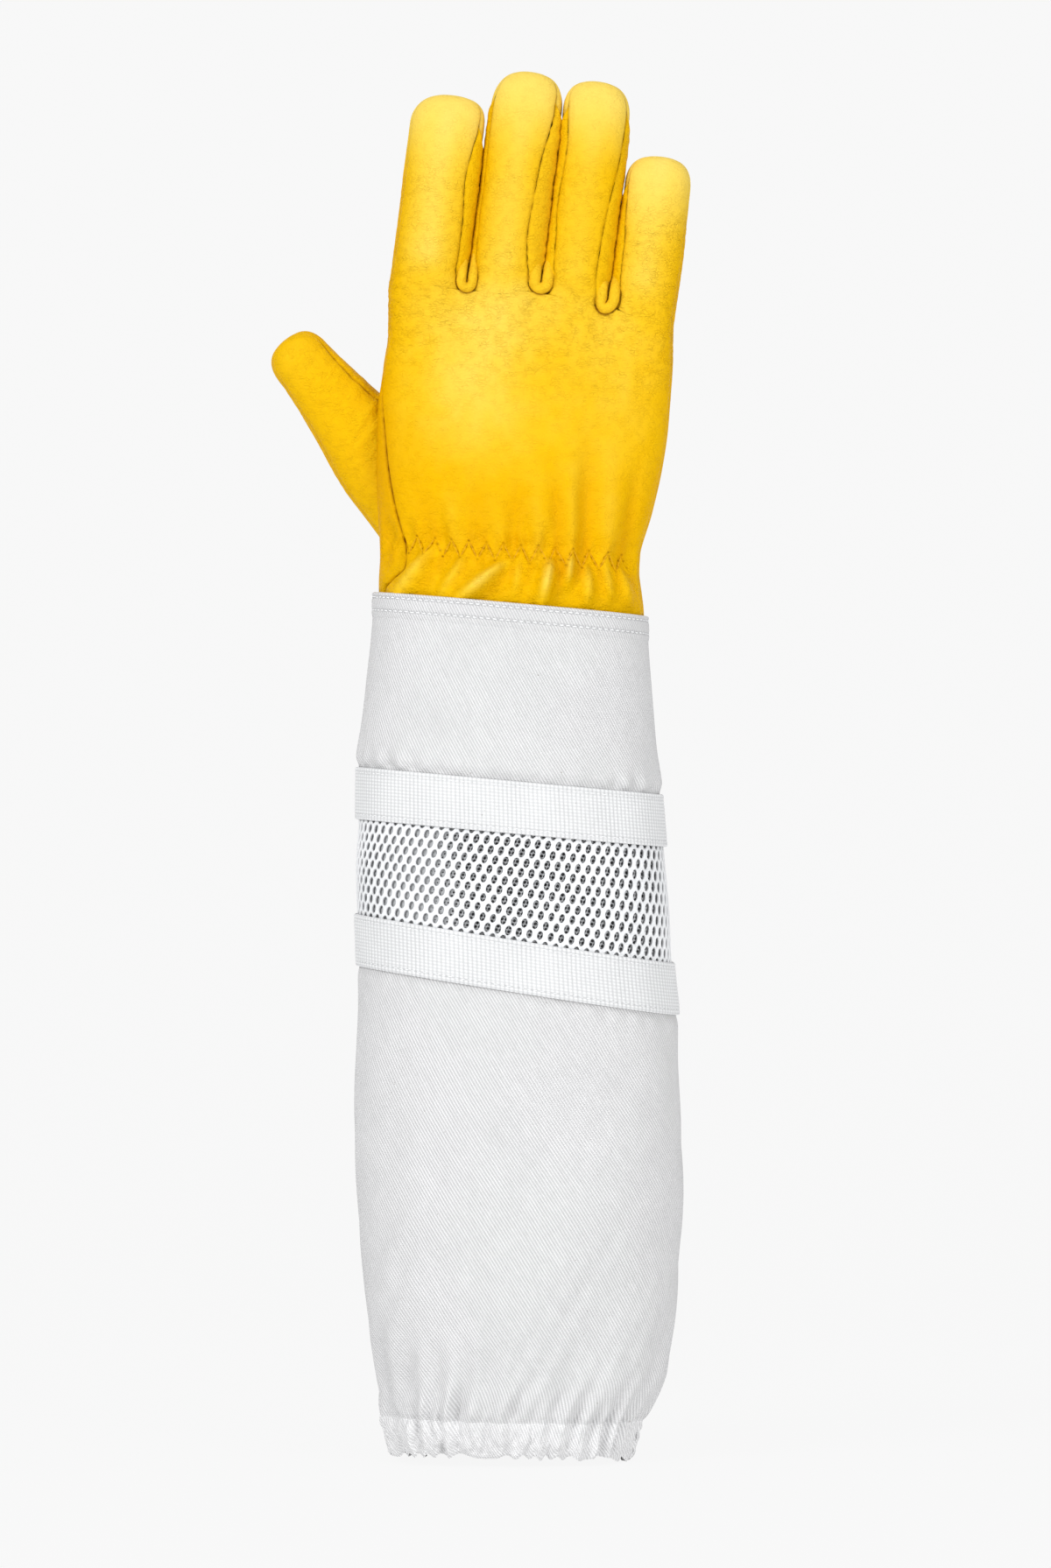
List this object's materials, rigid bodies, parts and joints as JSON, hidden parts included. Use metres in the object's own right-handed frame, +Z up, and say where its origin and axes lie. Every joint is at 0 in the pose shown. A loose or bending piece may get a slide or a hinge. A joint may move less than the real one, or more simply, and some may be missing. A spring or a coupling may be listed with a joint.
{
  "type": "beekeeping glove",
  "caption": "Long protective glove: a leather hand with bending fingers on a cotton gauntlet with a ventilated mesh band, webbing tapes and an elastic hem.",
  "frame": {"origin": "centre of the arm opening, in the plane of the hem's lower edge", "axes": "+Z up the arm to the fingertips, -Y out of the back of the hand, -X towards the thumb"},
  "size_m": [0.1539, 0.0776, 0.5081],
  "materials": {
    "leather": "soft grain, satin",
    "canvas": "cotton twill, matt",
    "mesh": "open net, matt",
    "webbing": "woven tape, matt",
    "elastic": "matt",
    "thread": "matt"
  },
  "bodies": {
    "gauntlet": {"hem_casing": "canvas", "hem_elastic": "elastic", "hem_stitching": "thread", "sleeve_canvas": "canvas", "sleeve_side_seam": "canvas", "lower_webbing": "webbing", "lower_webbing_stitching": "thread", "mesh_outer": "mesh", "mesh_inner": "mesh", "upper_webbing": "webbing", "upper_webbing_stitching": "thread", "cuff_canvas": "canvas", "cuff_side_seam": "canvas", "cuff_top_hem": "canvas", "cuff_top_stitching": "thread", "wrist_back": "leather", "wrist_palm": "leather"},
    "hand": {"hand_back": "leather", "hand_palm": "leather", "thumb_keystone": "leather", "crotch_gusset_index_middle": "leather", "crotch_gusset_middle_ring": "leather", "crotch_gusset_ring_little": "leather", "wrist_elastic": "elastic", "wrist_elastic_stitching": "thread"},
    "index_base": {"index_base_back": "leather", "index_base_palm": "leather", "index_base_side_strip": "leather"},
    "index_tip": {"index_tip_back": "leather", "index_tip_palm": "leather", "index_tip_side_strip": "leather"},
    "middle_base": {"middle_base_back": "leather", "middle_base_palm": "leather", "middle_base_side_strip": "leather"},
    "middle_tip": {"middle_tip_back": "leather", "middle_tip_palm": "leather", "middle_tip_side_strip": "leather"},
    "ring_base": {"ring_base_back": "leather", "ring_base_palm": "leather", "ring_base_side_strip": "leather"},
    "ring_tip": {"ring_tip_back": "leather", "ring_tip_palm": "leather", "ring_tip_side_strip": "leather"},
    "little_base": {"little_base_back": "leather", "little_base_palm": "leather", "little_base_side_strip": "leather"},
    "little_tip": {"little_tip_back": "leather", "little_tip_palm": "leather", "little_tip_side_strip": "leather"},
    "thumb_base": {"thumb_base_back": "leather", "thumb_base_palm": "leather"},
    "thumb_tip": {"thumb_tip_back": "leather", "thumb_tip_palm": "leather"}
  },
  "joints": [
    {"name": "wrist_flex", "type": "hinge", "parent": "gauntlet", "child": "hand", "pos_m": [0, 0.023, 0.331], "axis": [-1, 0, 0], "range_deg": [0, 60]},
    {"name": "index_knuckle", "type": "hinge", "parent": "hand", "child": "index_base", "pos_m": [-0.0313, 0.0105, 0.42841], "axis": [-0.9925, 0, 0.1219], "range_deg": [0, 80]},
    {"name": "index_middle", "type": "hinge", "parent": "index_base", "child": "index_tip", "pos_m": [-0.02679, 0.00987, 0.46514], "axis": [-0.9925, 0, 0.1219], "range_deg": [0, 85]},
    {"name": "middle_knuckle", "type": "hinge", "parent": "hand", "child": "middle_base", "pos_m": [-0.00351, 0.0105, 0.425], "axis": [-0.9925, 0, 0.1219], "range_deg": [0, 80]},
    {"name": "middle_middle", "type": "hinge", "parent": "middle_base", "child": "middle_tip", "pos_m": [0.00173, 0.00986, 0.46768], "axis": [-0.9925, 0, 0.1219], "range_deg": [0, 85]},
    {"name": "ring_knuckle", "type": "hinge", "parent": "hand", "child": "ring_base", "pos_m": [0.02245, 0.0105, 0.42181], "axis": [-0.9925, 0, 0.1219], "range_deg": [0, 80]},
    {"name": "ring_middle", "type": "hinge", "parent": "ring_base", "child": "ring_tip", "pos_m": [0.02769, 0.00989, 0.46449], "axis": [-0.9925, 0, 0.1219], "range_deg": [0, 85]},
    {"name": "little_knuckle", "type": "hinge", "parent": "hand", "child": "little_base", "pos_m": [0.04741, 0.01, 0.41875], "axis": [-0.9925, 0, 0.1219], "range_deg": [0, 80]},
    {"name": "little_middle", "type": "hinge", "parent": "little_base", "child": "little_tip", "pos_m": [0.05106, 0.00929, 0.44852], "axis": [-0.9925, 0, 0.1219], "range_deg": [0, 85]},
    {"name": "thumb_root", "type": "hinge", "parent": "hand", "child": "thumb_base", "pos_m": [-0.051, 0.024, 0.37], "axis": [0, 0, -1], "range_deg": [0, 50]},
    {"name": "thumb_middle", "type": "hinge", "parent": "thumb_base", "child": "thumb_tip", "pos_m": [-0.06725, 0.0213, 0.39009], "axis": [-0.7716, 0, -0.6361], "range_deg": [0, 65]}
  ]
}
